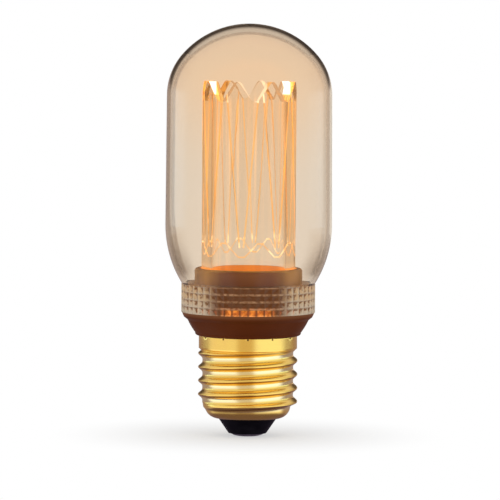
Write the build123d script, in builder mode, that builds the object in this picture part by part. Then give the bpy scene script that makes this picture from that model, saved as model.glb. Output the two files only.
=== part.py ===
from build123d import *
import math
import os

# A tubular light bulb for a 27 mm screw socket. It stands on its tip, the axis is Z and the tip is at zero.
# Light-emitting chips in the foot shine up into the wall of a clear guide tube. The guide's etched lines and
# its crown-cut top glow like the filament of an old lamp, inside an amber glass.

# Screw shell, rolled from thin sheet
thread_diameter = 26.4
thread_pitch = 3.63
thread_depth = 1.15
thread_base_width = 2.5
thread_crest_width = 0.7
thread_crest_radius = 0.3
thread_start_height = 2.65
thread_turns = 4.05
thread_inner_delay = 1.0
thread_inner_stop = 0.2
thread_fade = 2.6
thread_fade_clearance = 0.06
skirt_diameter = 26.1
skirt_height = 3.4
shoulder_height = 1.0
sheet_thickness = 0.4
shell_length = 22.05
bowl_diameter = 22.7
bowl_corner_radius = 3.25
bowl_step = 0.9
lip_hole_diameter = 15.6
stake_count = 12
stake_diameter = 0.9
stake_depth = 0.25
stake_drop = 0.6

# Insulator and contact at the tip
contact_height = 0.75
contact_diameter = 9.2
contact_flat_diameter = 4.6
contact_stem_diameter = 2.4
insulator_height = 4.0
insulator_tip_diameter = 10.1
insulator_flange_diameter = 18.6
insulator_flange_height = 1.5
cap_clearance = 0.1

# Housing with its collar, pedestal and sleeve
collar_diameter = 35.3
collar_height = 6.2
collar_brow_inset = 0.6
collar_brow_height = 1.3
collar_chin_inset = 1.0
collar_chin_height = 0.8
collar_foot_diameter = 28.1
collar_foot_height = 0.75
collar_foot_inset = 0.65
collar_cove = 0.12
pedestal_height = 3.0
pedestal_plate = 1.5
sleeve_wall = 1.25
sleeve_drop = 11.7
sleeve_clearance = 0.2
wire_hole_diameter = 5.2
rail_width = 1.0
rail_reach = 1.5

# Knurled ring between collar and glass
ring_diameter = 35.5
ring_height = 7.5
knurl_rows = 4
knurl_columns = 52
knurl_depth = 0.22
ring_lip_height = 0.5
ring_clearance = 0.2

# Glass
glass_foot_diameter = 35.2
glass_low_diameter = 44.2
glass_high_diameter = 43.8
glass_wall = 1.3
glass_dome_wall = 1.8
glass_neck_height = 15.6
glass_tube_length = 34.3
glass_dome_height = 19.0
glass_shoulder_radius = 16.5

# Light guide and its cup
guide_diameter = 24.9
guide_wall = 2.75
guide_length = 56.1
crown_count = 8
crown_turn = -83.0
crown_depth = 5.2
crown_bend_depth = 0.5
crown_bend_width = 2.0
crown_peak_width = 0.6
crown_valley_width = 0.6
etch_turn = -98.6
etch_width = 0.45
etch_depth = 0.15
etch_spread = 2.4
etch_top_margin = 2.0
etch_foot_height = 12.6
wave_low_height = 10.0
wave_height = 3.5
wave_bend_width = 1.6
cup_wall = 1.7
cup_height = 11.85
cup_rim_radius = 0.8
cup_ledge_width = 0.4
cup_ledge_height = 0.75
guide_clearance = 0.15

# Light board with its chips and screws
light_board_thickness = 1.2
light_board_hole_diameter = 6.0
light_board_clearance = 0.35
chip_count = 16
chip_width = 2.0
chip_depth = 1.6
chip_height = 0.65
chip_clearance = 0.3
screw_diameter = 1.9
screw_length = 4.0
screw_head_diameter = 3.6
screw_head_height = 1.2
screw_slot_width = 0.5
screw_slot_depth = 0.5
screw_spacing = 13.0
screw_clearance = 0.1
boss_diameter = 4.2
boss_height = 3.4

# Driver board and what is soldered to it
driver_board_thickness = 1.0
driver_board_clearance = 0.1
driver_board_end_gap = 0.3
driver_board_drop = 0.5
capacitor_diameter = 8.0
capacitor_height = 12.0
capacitor_offset = 3.0
capacitor_rise = 3.5
capacitor_lead_spacing = 2.5
capacitor_groove_depth = 0.3
choke_diameter = 6.4
choke_height = 6.0
choke_flange = 1.0
choke_post_diameter = 3.0
choke_offset = 3.6
choke_rise = 8.0
winding_clearance = 0.1
package_length = 4.9
package_width = 3.9
package_height = 1.5
package_offset = 5.0
package_stand_off = 0.1
package_lead_width = 0.6
package_lead_reach = 0.9
package_lead_thickness = 0.25
rectifier_rise = 5.5
chip_rise = 13.5
resistor_diameter = 3.0
resistor_length = 8.0
resistor_offset = 5.4
resistor_rise = 6.0
resistor_waist = 0.3
solder_gap = 0.05

# Wires
wire_diameter = 0.7
wire_bend = 1.0
wire_lap = 3.0
shell_wire_drop = 2.3
light_wire_offset = 1.2
light_wire_reach = 5.0
component_wire_diameter = 0.6

os.makedirs("parts", exist_ok=True)

# Heights of the stack, from the tip up
lip_z = contact_height + insulator_height
shell_top_z = lip_z + shell_length
seat_z = shell_top_z + collar_height
glass_z = seat_z + ring_height
neck_top_z = glass_z + glass_neck_height
tube_top_z = neck_top_z + glass_tube_length
pedestal_z = seat_z + pedestal_height
light_board_z = pedestal_z + light_board_thickness
guide_z = light_board_z + chip_height + chip_clearance
guide_top_z = guide_z + guide_length
sleeve_z = shell_top_z - skirt_height - sleeve_drop
plate_z = pedestal_z - pedestal_plate

# Radii that the pieces share
thread_radius = thread_diameter / 2
root_radius = thread_radius - thread_depth
skirt_radius = skirt_diameter / 2
bowl_radius = bowl_diameter / 2
lip_hole_radius = lip_hole_diameter / 2
sleeve_radius = root_radius - sheet_thickness - sleeve_clearance
cavity_radius = sleeve_radius - sleeve_wall
guide_radius = guide_diameter / 2
guide_bore_radius = guide_radius - guide_wall
cup_bore_radius = guide_radius + guide_clearance
cup_radius = cup_bore_radius + cup_wall
pedestal_radius = cup_bore_radius - ring_clearance
ring_bore_radius = cup_radius + ring_clearance
ring_lip_radius = glass_foot_diameter / 2 - glass_wall - ring_clearance
light_board_radius = cup_bore_radius - light_board_clearance
chip_ring_radius = (guide_radius + guide_bore_radius) / 2
wire_radius = wire_diameter / 2
component_wire_radius = component_wire_diameter / 2
board_face = driver_board_thickness / 2
board_half_width = cavity_radius - driver_board_end_gap
board_foot_z = sleeve_z - driver_board_drop
board_top_z = plate_z - driver_board_end_gap
capacitor_axis = board_face + solder_gap + capacitor_diameter / 2
resistor_axis = board_face + solder_gap + resistor_diameter / 2
crown_step = 360 / crown_count


def radial_plane(angle, radius):
    """A plane that faces outward at a turn about the axis, with its upright direction along Z."""
    turn = math.radians(angle)
    outward = (math.cos(turn), math.sin(turn), 0)
    along = (-math.sin(turn), math.cos(turn), 0)
    return Plane(origin=(radius * outward[0], radius * outward[1], 0), x_dir=along, z_dir=outward)


def on_cylinder(angle, radius, height):
    """A point at a turn about the axis, a radius from it and a height."""
    turn = math.radians(angle)
    return Vector(radius * math.cos(turn), radius * math.sin(turn), height)


# Glass envelope, blown in one piece, open at its foot
def glass_line(foot_radius, low_radius, high_radius, dome_height, shoulder_radius):
    """One side of the glass in section: the neck's curve, the tube's slight taper, the shoulder and the crown."""
    drop = low_radius - foot_radius
    neck_radius = (drop ** 2 + glass_neck_height ** 2) / (2 * drop)
    neck = RadiusArc((foot_radius, glass_z), (low_radius, neck_top_z), -neck_radius)
    Line(neck @ 1, (high_radius, tube_top_z))
    inset = high_radius - shoulder_radius
    rise = dome_height - shoulder_radius
    crown_radius = (inset ** 2 + dome_height ** 2 - shoulder_radius ** 2) / (2 * rise)
    crown_centre_z = tube_top_z + dome_height - crown_radius
    lean = math.degrees(math.atan2(tube_top_z - crown_centre_z, inset))
    CenterArc((inset, tube_top_z), shoulder_radius, 0, lean)
    CenterArc((0, crown_centre_z), crown_radius, lean, 90 - lean)


with BuildPart() as glass_envelope:
    foot_r = glass_foot_diameter / 2
    low_r = glass_low_diameter / 2
    high_r = glass_high_diameter / 2
    apex_z = tube_top_z + glass_dome_height
    with BuildSketch(Plane.XZ):
        with BuildLine():
            glass_line(foot_r, low_r, high_r, glass_dome_height, glass_shoulder_radius)
            Line((0, apex_z), (0, apex_z - glass_dome_wall))
            glass_line(
                foot_r - glass_wall,
                low_r - glass_wall,
                high_r - glass_wall,
                glass_dome_height - glass_dome_wall,
                glass_shoulder_radius - glass_dome_wall,
            )
            Line((foot_r - glass_wall, glass_z), (foot_r, glass_z))
        make_face()
    revolve(axis=Axis.Z)

glass_envelope.part.label = "glass_envelope"
export_step(glass_envelope.part, "parts/glass_envelope.step")

# Light guide, a clear tube with a crown cut into its top and a cage of lines etched into its wall
with BuildPart() as wave_groove:
    inner_r = guide_bore_radius
    outer_r = guide_radius + guide_wall
    wave_low_z = guide_z + wave_low_height
    for k in range(crown_count):
        for reach in (inner_r, outer_r):
            half = reach * math.tan(math.radians(crown_step / 2))
            bend = wave_bend_width / 2 * reach / guide_radius
            lower = [
                (-half, wave_low_z + wave_height),
                (bend - half, wave_low_z + wave_height),
                (-bend, wave_low_z),
                (bend, wave_low_z),
                (half - bend, wave_low_z + wave_height),
                (half, wave_low_z + wave_height),
            ]
            upper = [(x, z + etch_width) for x, z in reversed(lower)]
            with BuildSketch(radial_plane(etch_turn + k * crown_step, reach)):
                with BuildLine():
                    Polyline(*lower, *upper, close=True)
                make_face()
        loft(ruled=True)
    with BuildSketch(Plane.XY.offset(guide_z)):
        Circle(guide_radius - etch_depth)
    extrude(amount=guide_length, mode=Mode.SUBTRACT)

with BuildPart() as light_guide:
    with BuildSketch(Plane.XY.offset(guide_z)):
        Circle(guide_radius)
        Circle(guide_bore_radius, mode=Mode.SUBTRACT)
    extrude(amount=guide_length)
    for k in range(crown_count):
        for reach in (guide_bore_radius / 2, guide_radius + guide_wall):
            share = reach / guide_radius
            half = reach * math.tan(math.radians(crown_step / 2))
            bend = crown_bend_width / 2 * share
            rising = [
                (crown_valley_width / 2 * share, guide_top_z - crown_depth),
                (bend, guide_top_z - crown_depth + crown_bend_depth),
                (half - bend, guide_top_z - crown_bend_depth),
                (half - crown_peak_width / 2 * share, guide_top_z),
                (half - crown_peak_width / 2 * share, guide_top_z + crown_depth),
            ]
            falling = [(-x, z) for x, z in reversed(rising)]
            with BuildSketch(radial_plane(crown_turn + k * crown_step, reach)):
                with BuildLine():
                    Polyline(*falling, *rising, close=True)
                make_face()
        loft(ruled=True, mode=Mode.SUBTRACT)
    for k in range(crown_count):
        low_turn = etch_turn + k * crown_step
        for side in (-1, 1):
            foot_turn = low_turn + side * etch_spread
            top_turn = low_turn + side * (crown_step / 2 - etch_spread)
            foot = on_cylinder(foot_turn, guide_radius, guide_z + etch_foot_height)
            top = on_cylinder(top_turn, guide_radius, guide_top_z - etch_top_margin)
            outward = on_cylinder((foot_turn + top_turn) / 2, 1, 0)
            with BuildSketch(Plane(origin=foot, x_dir=outward, z_dir=top - foot)):
                Rectangle(2 * etch_depth, etch_width)
            extrude(amount=(top - foot).length, mode=Mode.SUBTRACT)
    add(wave_groove.part, mode=Mode.SUBTRACT)

light_guide.part.label = "light_guide"
export_step(light_guide.part, "parts/light_guide.step")

# Cup, moulded, standing over the pedestal, with a ledge that the guide's foot rests on
with BuildPart() as guide_cup:
    ledge_radius = guide_radius - cup_ledge_width
    with BuildSketch(Plane.XZ):
        with BuildLine():
            Polyline(
                (cup_bore_radius, seat_z),
                (cup_radius, seat_z),
                (cup_radius, seat_z + cup_height),
                (cup_bore_radius, seat_z + cup_height),
                (cup_bore_radius, guide_z),
                (ledge_radius, guide_z),
                (ledge_radius, guide_z - cup_ledge_height),
                (cup_bore_radius, guide_z - cup_ledge_height),
                close=True,
            )
        make_face()
    revolve(axis=Axis.Z)
    rim = guide_cup.edges().filter_by(GeomType.CIRCLE).group_by(Axis.Z)[-1].sort_by(SortBy.RADIUS)
    fillet(rim[-1], radius=min(cup_rim_radius, 0.8 * cup_wall))
    fillet(rim[0], radius=min(cup_rim_radius, 0.8 * cup_wall) / 4)

guide_cup.part.label = "guide_cup"
export_step(guide_cup.part, "parts/guide_cup.step")

# Knurled ring: rows of ridges and columns of teeth leave a field of small pyramids
with BuildPart() as knurled_ring:
    tip_radius = ring_diameter / 2
    valley_radius = tip_radius - knurl_depth
    row_height = ring_height / knurl_rows
    ridges = [(valley_radius, seat_z)]
    for row in range(knurl_rows):
        ridges.append((tip_radius, seat_z + (row + 0.5) * row_height))
        ridges.append((valley_radius, seat_z + (row + 1) * row_height))
    with BuildSketch(Plane.XZ):
        with BuildLine():
            Polyline(
                (ring_bore_radius, seat_z),
                *ridges,
                (ring_lip_radius, glass_z),
                (ring_lip_radius, glass_z + ring_lip_height),
                (ring_bore_radius, glass_z + ring_lip_height),
                close=True,
            )
        make_face()
    revolve(axis=Axis.Z)
    teeth = []
    for column in range(2 * knurl_columns):
        reach = valley_radius if column % 2 else tip_radius
        teeth.append(on_cylinder(column * 180 / knurl_columns, reach, 0))
    with BuildSketch(Plane.XY.offset(seat_z)):
        with BuildLine():
            Polyline(*[(tooth.X, tooth.Y) for tooth in teeth], close=True)
        make_face()
    extrude(amount=ring_height + ring_lip_height, mode=Mode.INTERSECT)

knurled_ring.part.label = "knurled_ring"
export_step(knurled_ring.part, "parts/knurled_ring.step")

# Housing, moulded: the collar outside, the pedestal under the light board, the sleeve inside the shell
with BuildPart() as base_housing:
    collar_radius = collar_diameter / 2
    brow_radius = collar_radius - collar_brow_inset
    chin_radius = brow_radius - collar_chin_inset
    chin_z = seat_z - collar_brow_height - collar_chin_height
    foot_radius = collar_foot_diameter / 2
    foot_z = shell_top_z + collar_foot_height
    spigot_radius = skirt_radius - sheet_thickness - sleeve_clearance
    spigot_z = shell_top_z - skirt_height + sleeve_clearance
    with BuildSketch(Plane.XZ):
        with BuildLine():
            Polyline(
                (wire_hole_diameter / 2, plate_z),
                (cavity_radius, plate_z),
                (cavity_radius, sleeve_z),
                (sleeve_radius, sleeve_z),
                (sleeve_radius, spigot_z),
                (spigot_radius, spigot_z),
                (spigot_radius, shell_top_z),
                (foot_radius - collar_foot_inset, shell_top_z),
            )
            TangentArc(
                (foot_radius - collar_foot_inset, shell_top_z),
                (foot_radius, foot_z),
                tangent=(1, 0),
            )
            SagittaArc((foot_radius, foot_z), (chin_radius, chin_z), -collar_cove)
            Polyline(
                (chin_radius, chin_z),
                (brow_radius, seat_z - collar_brow_height),
                (collar_radius, seat_z),
                (pedestal_radius, seat_z),
                (pedestal_radius, pedestal_z),
                (wire_hole_diameter / 2, pedestal_z),
                (wire_hole_diameter / 2, plate_z),
            )
        make_face()
    revolve(axis=Axis.Z)
    with BuildSketch(Plane.XY.offset(plate_z)):
        with GridLocations(0, screw_spacing, 1, 2):
            Circle(boss_diameter / 2)
    extrude(amount=-boss_height)
    with BuildSketch(Plane.XY.offset(plate_z)):
        rail_gap = driver_board_thickness + 2 * driver_board_clearance
        with GridLocations(2 * cavity_radius - rail_reach, rail_gap + rail_width, 2, 2):
            Rectangle(rail_reach + sleeve_wall, rail_width)
    extrude(amount=sleeve_z - plate_z)
    with Locations(Plane.XY.offset(pedestal_z)):
        with GridLocations(0, screw_spacing, 1, 2):
            Hole(radius=screw_diameter / 2 + screw_clearance / 2, depth=pedestal_plate + boss_height)

base_housing.part.label = "base_housing"
export_step(base_housing.part, "parts/base_housing.step")

# Light board, a round plate on the pedestal
with BuildPart() as led_board:
    with BuildSketch(Plane.XY.offset(pedestal_z)):
        Circle(light_board_radius)
        Circle(light_board_hole_diameter / 2, mode=Mode.SUBTRACT)
        with GridLocations(0, screw_spacing, 1, 2):
            Circle(screw_diameter / 2 + screw_clearance, mode=Mode.SUBTRACT)
    extrude(amount=light_board_thickness)

led_board.part.label = "led_board"
export_step(led_board.part, "parts/led_board.step")

# Light-emitting chips, a ring of them under the guide's wall
with BuildPart() as led_chips:
    with BuildSketch(Plane.XY.offset(light_board_z)):
        with PolarLocations(chip_ring_radius, chip_count):
            Rectangle(chip_depth, chip_width)
    extrude(amount=chip_height)

led_chips.part.label = "led_chips"
export_step(led_chips.part, "parts/led_chips.step")

# Two screws that hold the light board to the pedestal's bosses
with BuildPart() as board_screws:
    with BuildSketch(Plane.XY.offset(light_board_z)):
        with GridLocations(0, screw_spacing, 1, 2):
            Circle(screw_head_diameter / 2)
    extrude(amount=screw_head_height)
    fillet(board_screws.edges().group_by(Axis.Z)[-1], radius=screw_head_height / 3)
    with BuildSketch(Plane.XY.offset(light_board_z)):
        with GridLocations(0, screw_spacing, 1, 2):
            Circle(screw_diameter / 2)
    extrude(amount=-screw_length)
    with BuildSketch(Plane.XY.offset(light_board_z + screw_head_height)):
        with GridLocations(0, screw_spacing, 1, 2):
            Rectangle(screw_head_diameter / 2, screw_slot_width)
            Rectangle(screw_slot_width, screw_head_diameter / 2)
    extrude(amount=-screw_slot_depth, mode=Mode.SUBTRACT)

board_screws.part.label = "board_screws"
export_step(board_screws.part, "parts/board_screws.step")

# Driver board, upright between the sleeve's rails
with BuildPart() as driver_board:
    with BuildSketch(Plane.XY.offset(board_foot_z)):
        Rectangle(2 * board_half_width, driver_board_thickness)
    extrude(amount=board_top_z - board_foot_z)

driver_board.part.label = "driver_board"
export_step(driver_board.part, "parts/driver_board.step")

# Filter capacitor, a can beside the board with its two wires bent to it
with BuildPart() as filter_capacitor:
    can_z = board_foot_z + capacitor_rise
    can_radius = capacitor_diameter / 2
    with BuildSketch(Plane.XY.offset(can_z)):
        with Locations((-capacitor_offset, capacitor_axis)):
            Circle(can_radius)
    extrude(amount=capacitor_height)
    fillet(filter_capacitor.edges().group_by(Axis.Z)[-1], radius=capacitor_groove_depth)
    groove_plane = Plane(origin=(-capacitor_offset, capacitor_axis, can_z), x_dir=(1, 0, 0), z_dir=(0, -1, 0))
    with BuildSketch(groove_plane):
        with Locations((can_radius, 2 * capacitor_groove_depth + capacitor_groove_depth)):
            Circle(capacitor_groove_depth)
    revolve(axis=Axis(groove_plane.origin, (0, 0, 1)), mode=Mode.SUBTRACT)
    for side in (-1, 1):
        lead_x = side * capacitor_lead_spacing / 2 - capacitor_offset
        with BuildLine() as can_lead:
            FilletPolyline(
                (lead_x, capacitor_axis, can_z),
                (lead_x, capacitor_axis, can_z - wire_bend - component_wire_diameter),
                (lead_x, board_face, can_z - wire_bend - component_wire_diameter),
                radius=wire_bend,
            )
        with BuildSketch(Plane(origin=(lead_x, capacitor_axis, can_z), z_dir=(0, 0, -1))):
            Circle(component_wire_radius)
        sweep(path=can_lead.line)

filter_capacitor.part.label = "filter_capacitor"
export_step(filter_capacitor.part, "parts/filter_capacitor.step")

# Choke: a ferrite drum that stands on the board's other face, with its copper winding
choke_plane = Plane(
    origin=(choke_offset, -board_face, board_foot_z + choke_rise), x_dir=(1, 0, 0), z_dir=(0, -1, 0)
)
with BuildPart() as choke_core:
    with BuildSketch(choke_plane):
        Circle(choke_diameter / 2)
    extrude(amount=choke_height)
    with BuildSketch(choke_plane.offset(choke_flange)):
        Circle(choke_diameter / 2)
        Circle(choke_post_diameter / 2, mode=Mode.SUBTRACT)
    extrude(amount=choke_height - 2 * choke_flange, mode=Mode.SUBTRACT)

choke_core.part.label = "choke_core"
export_step(choke_core.part, "parts/choke_core.step")

with BuildPart() as choke_winding:
    with BuildSketch(choke_plane.offset(choke_flange + winding_clearance)):
        Circle(choke_diameter / 2 - 2 * winding_clearance)
        Circle(choke_post_diameter / 2 + winding_clearance, mode=Mode.SUBTRACT)
    extrude(amount=choke_height - 2 * choke_flange - 2 * winding_clearance)

choke_winding.part.label = "choke_winding"
export_step(choke_winding.part, "parts/choke_winding.step")


def package(rise, leads_a_side):
    """A moulded package on the board's rear face, with a row of bent leads along each of two sides."""
    face = Plane(origin=(-package_offset, -board_face, board_foot_z + rise), x_dir=(1, 0, 0), z_dir=(0, -1, 0))
    pitch = package_length / leads_a_side
    lead_z = package_height / 2 + package_stand_off
    with BuildPart() as body:
        with BuildSketch(face.offset(package_stand_off)):
            Rectangle(package_length, package_width)
        extrude(amount=package_height)
        chamfer(body.faces().sort_by(Axis.Y)[0].edges(), length=package_height / 6)
        for side in (-1, 1):
            edge = side * package_width / 2
            toe = side * (package_width / 2 + package_lead_reach)
            ankle = side * (package_width / 2 + package_lead_reach / 2)
            thick = package_lead_thickness
            for k in range(leads_a_side):
                x = (k - (leads_a_side - 1) / 2) * pitch - package_lead_width / 2
                start = face.from_local_coords(Vector(x, 0, 0))
                with BuildSketch(Plane(origin=start, x_dir=(0, 0, 1), z_dir=(1, 0, 0))):
                    with BuildLine():
                        Polyline(
                            (edge - side * thick, lead_z),
                            (ankle, lead_z),
                            (ankle, 0),
                            (toe, 0),
                            (toe, thick),
                            (ankle + side * thick, thick),
                            (ankle + side * thick, lead_z + thick),
                            (edge - side * thick, lead_z + thick),
                            close=True,
                        )
                    make_face()
                extrude(amount=package_lead_width)
    return body


# Bridge rectifier and control chip, two small packages on the board's rear face
bridge_rectifier = package(rectifier_rise, 2)
bridge_rectifier.part.label = "bridge_rectifier"
export_step(bridge_rectifier.part, "parts/bridge_rectifier.step")

driver_chip = package(chip_rise, 4)
driver_chip.part.label = "driver_chip"
export_step(driver_chip.part, "parts/driver_chip.step")

# Fusible resistor, a waisted body with a wire bent to the board at each end
with BuildPart() as fusible_resistor:
    body_z = board_foot_z + resistor_rise
    body_plane = Plane(origin=(resistor_offset, resistor_axis, body_z), x_dir=(1, 0, 0), z_dir=(0, -1, 0))
    body_radius = resistor_diameter / 2
    with BuildSketch(body_plane):
        with BuildLine():
            Polyline((body_radius, 0), (0, 0), (0, resistor_length), (body_radius, resistor_length))
            SagittaArc((body_radius, 0), (body_radius, resistor_length), resistor_waist)
        make_face()
    revolve(axis=Axis(body_plane.origin, (0, 0, 1)))
    for end, way in ((body_z, -1), (body_z + resistor_length, 1)):
        with BuildLine() as end_lead:
            FilletPolyline(
                (resistor_offset, resistor_axis, end),
                (resistor_offset, resistor_axis, end + way * (wire_bend + component_wire_diameter)),
                (resistor_offset, board_face, end + way * (wire_bend + component_wire_diameter)),
                radius=wire_bend,
            )
        with BuildSketch(Plane(origin=(resistor_offset, resistor_axis, end), z_dir=(0, 0, way))):
            Circle(component_wire_radius)
        sweep(path=end_lead.line)

fusible_resistor.part.label = "fusible_resistor"
export_step(fusible_resistor.part, "parts/fusible_resistor.step")

# Screw shell, rolled from sheet: skirt, helical thread that fades out below, bowl and inturned lip
thread_start_z = lip_z + thread_start_height
bowl_top_z = lip_z + bowl_corner_radius
shoulder_z = shell_top_z - skirt_height


def thread_ridge(start_turns, turns, inset, mode):
    """A helical ridge on the shell's root, moved inwards by the inset, from a turn count above its start."""
    start_z = thread_start_z + start_turns * thread_pitch
    base_radius = root_radius - inset - sheet_thickness / 2
    with BuildLine() as helix:
        Helix(thread_pitch, turns * thread_pitch, root_radius - inset, center=(0, 0, start_z))
    with BuildSketch(Plane(origin=(0, 0, start_z), x_dir=(-1, 0, 0), z_dir=(0, 1, 0))) as profile:
        with BuildLine():
            Polyline(
                (base_radius, -thread_base_width / 2),
                (thread_radius - inset, -thread_crest_width / 2),
                (thread_radius - inset, thread_crest_width / 2),
                (base_radius, thread_base_width / 2),
                close=True,
            )
        make_face()
        fillet(profile.vertices().group_by(Axis.X)[-1], radius=thread_crest_radius)
    sweep(sections=profile.sketch, path=helix.line.rotate(Axis.Z, 180), is_frenet=True, mode=mode)


with BuildPart() as screw_shell:
    rim_z = shell_top_z + sheet_thickness
    bore_z = lip_z + sheet_thickness
    bore_radius = root_radius - sheet_thickness
    fade_radius = thread_radius + sheet_thickness
    flush_radius = skirt_radius + thread_fade_clearance
    with BuildSketch(Plane.XZ):
        with BuildLine():
            Polyline(
                (0, 0),
                (root_radius, 0),
                (root_radius, shoulder_z - shoulder_height),
                (skirt_radius, shoulder_z),
                (skirt_radius, shell_top_z),
                (0, shell_top_z),
                close=True,
            )
        make_face()
    revolve(axis=Axis.Z)
    thread_ridge(0, thread_turns, 0, Mode.ADD)
    with BuildSketch(Plane.XZ):
        with BuildLine():
            Polyline((0, rim_z), (0, lip_z), (bowl_radius - bowl_corner_radius, lip_z))
            CenterArc((bowl_radius - bowl_corner_radius, bowl_top_z), bowl_corner_radius, -90, 90)
            Polyline(
                (bowl_radius, bowl_top_z),
                (fade_radius, bowl_top_z + thread_fade),
                (fade_radius, shoulder_z - shoulder_height),
                (flush_radius, shoulder_z),
                (flush_radius, rim_z),
                (0, rim_z),
            )
        make_face()
    revolve(axis=Axis.Z, mode=Mode.INTERSECT)
    with BuildSketch(Plane.XZ):
        with BuildLine():
            Polyline((0, rim_z), (0, bore_z), (bowl_radius - bowl_corner_radius, bore_z))
            CenterArc(
                (bowl_radius - bowl_corner_radius, bowl_top_z), bowl_corner_radius - sheet_thickness, -90, 90
            )
            Polyline(
                (bowl_radius - sheet_thickness, bowl_top_z),
                (bore_radius, bowl_top_z + bowl_step),
                (bore_radius, shoulder_z - shoulder_height),
                (skirt_radius - sheet_thickness, shoulder_z),
                (skirt_radius - sheet_thickness, rim_z),
                (0, rim_z),
            )
        make_face()
    revolve(axis=Axis.Z, mode=Mode.SUBTRACT)
    inner_turns = thread_turns - thread_inner_delay - thread_inner_stop
    thread_ridge(thread_inner_delay, inner_turns, sheet_thickness, Mode.SUBTRACT)
    with BuildSketch(Plane.XY):
        Circle(lip_hole_radius)
    extrude(amount=lip_z + 2 * sheet_thickness, mode=Mode.SUBTRACT)
    with Locations((0, 0, shell_top_z - stake_drop)):
        with PolarLocations(skirt_radius + stake_diameter / 2 - stake_depth, stake_count):
            Sphere(stake_diameter / 2, mode=Mode.SUBTRACT)

screw_shell.part.label = "screw_shell"
export_step(screw_shell.part, "parts/screw_shell.step")

# Insulator, moulded, with a groove that holds the shell's lip
insulator_top_z = lip_z + sheet_thickness + insulator_flange_height
stem_radius = contact_stem_diameter / 2
with BuildPart() as cap_insulator:
    neck_radius = lip_hole_radius - cap_clearance
    with BuildSketch(Plane.XZ):
        with BuildLine():
            Polyline(
                (stem_radius + cap_clearance, contact_height),
                (insulator_tip_diameter / 2, contact_height),
                (lip_hole_radius, lip_z),
                (neck_radius, lip_z),
                (neck_radius, lip_z + sheet_thickness),
                (insulator_flange_diameter / 2, lip_z + sheet_thickness + bowl_corner_radius / 8),
                (insulator_flange_diameter / 2, insulator_top_z),
                (stem_radius + cap_clearance, insulator_top_z),
                close=True,
            )
        make_face()
    revolve(axis=Axis.Z)

cap_insulator.part.label = "cap_insulator"
export_step(cap_insulator.part, "parts/cap_insulator.step")

# Centre contact, a shallow button with a flat tip and a stem up through the insulator
contact_top_z = insulator_top_z + cap_clearance
with BuildPart() as centre_contact:
    with BuildSketch(Plane.XZ):
        with BuildLine():
            Polyline((contact_diameter / 2, contact_height), (0, contact_height), (0, 0), (contact_flat_diameter / 2, 0))
            TangentArc(
                (contact_flat_diameter / 2, 0), (contact_diameter / 2, contact_height), tangent=(1, 0)
            )
        make_face()
    revolve(axis=Axis.Z)
    with BuildSketch(Plane.XY.offset(contact_height)):
        Circle(stem_radius)
    extrude(amount=contact_top_z - contact_height)

centre_contact.part.label = "centre_contact"
export_step(centre_contact.part, "parts/centre_contact.step")

# Leads, straight runs with round bends, from the driver to the cap and to the light board
lead_face = board_face + wire_radius + solder_gap
wall_radius = root_radius - sheet_thickness
shell_wire_z = sleeve_z - shell_wire_drop
light_wire_z = light_board_z + wire_radius + solder_gap


def lead(points):
    """A round wire along straight runs joined by bends."""
    with BuildPart() as wire:
        with BuildLine() as route:
            FilletPolyline(*points, radius=wire_bend)
        with BuildSketch(Plane(origin=route.line @ 0, z_dir=route.line % 0)):
            Circle(wire_radius)
        sweep(path=route.line)
    return wire


contact_lead = lead(
    [
        (0, 0, contact_top_z),
        (0, 0, contact_top_z + wire_bend),
        (0, lead_face, board_foot_z - wire_bend),
        (0, lead_face, board_foot_z + wire_lap),
    ]
)
contact_lead.part.label = "contact_lead"
export_step(contact_lead.part, "parts/contact_lead.step")

shell_lead = lead(
    [
        (0, -lead_face, board_foot_z + wire_lap),
        (0, -lead_face, shell_wire_z),
        (0, solder_gap - wall_radius, shell_wire_z),
    ]
)
shell_lead.part.label = "shell_lead"
export_step(shell_lead.part, "parts/shell_lead.step")

led_lead_positive = lead(
    [
        (light_wire_offset, lead_face, board_top_z - wire_lap),
        (light_wire_offset, lead_face, light_wire_z),
        (light_wire_offset + light_wire_reach, lead_face, light_wire_z),
    ]
)
led_lead_positive.part.label = "led_lead_positive"
export_step(led_lead_positive.part, "parts/led_lead_positive.step")

led_lead_negative = lead(
    [
        (-light_wire_offset, -lead_face, board_top_z - wire_lap),
        (-light_wire_offset, -lead_face, light_wire_z),
        (-light_wire_offset - light_wire_reach, -lead_face, light_wire_z),
    ]
)
led_lead_negative.part.label = "led_lead_negative"
export_step(led_lead_negative.part, "parts/led_lead_negative.step")
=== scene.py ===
import math

import bmesh
import bpy
from mathutils import Matrix, Vector


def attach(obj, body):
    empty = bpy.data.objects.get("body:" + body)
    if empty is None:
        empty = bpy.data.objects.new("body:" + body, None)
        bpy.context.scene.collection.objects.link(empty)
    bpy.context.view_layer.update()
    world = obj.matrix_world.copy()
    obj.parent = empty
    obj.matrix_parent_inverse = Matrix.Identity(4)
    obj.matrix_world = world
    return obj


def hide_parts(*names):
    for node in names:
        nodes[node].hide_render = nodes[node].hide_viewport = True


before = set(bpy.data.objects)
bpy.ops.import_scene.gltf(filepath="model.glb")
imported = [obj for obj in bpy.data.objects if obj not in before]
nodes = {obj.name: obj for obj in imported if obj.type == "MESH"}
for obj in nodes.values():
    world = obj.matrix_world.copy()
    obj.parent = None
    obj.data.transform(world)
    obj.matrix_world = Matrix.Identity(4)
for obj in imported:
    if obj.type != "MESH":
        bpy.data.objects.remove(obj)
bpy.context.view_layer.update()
MM = 0.001


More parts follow.
